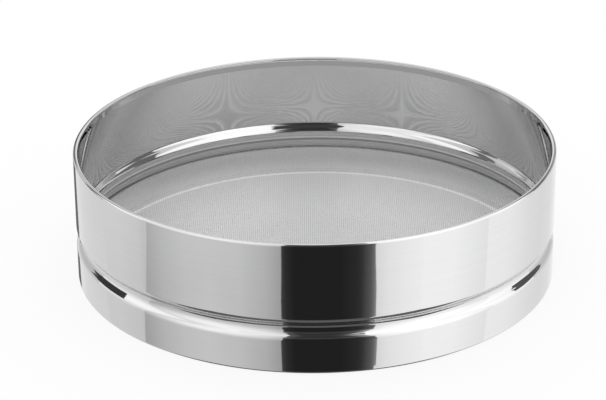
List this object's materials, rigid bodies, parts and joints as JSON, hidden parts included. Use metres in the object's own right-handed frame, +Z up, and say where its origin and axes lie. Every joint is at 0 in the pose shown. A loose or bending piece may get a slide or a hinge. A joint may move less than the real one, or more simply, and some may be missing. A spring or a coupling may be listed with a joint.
{
  "type": "tamis drum sieve",
  "caption": "Flat drum sieve: a polished steel hoop with a rim rolled inwards, a pressed bead and a taut woven wire cloth held by an inner ring.",
  "frame": {"origin": "centre of the flat face that the sieve stands on", "axes": "+Z up along the drum's axis, towards the rolled rim; +X along the upper layer of wires, +Y along the lower layer"},
  "size_m": [0.3, 0.3, 0.0825],
  "materials": {
    "polished_hoop": "polished",
    "ring_steel": "satin",
    "wire_steel": "drawn wire, bright"
  },
  "bodies": {
    "root": {"outer_hoop": "polished_hoop", "clamp_ring": "ring_steel", "cloth_border": "wire_steel", "warp_wires": "wire_steel", "weft_wires": "wire_steel"}
  },
  "joints": []
}
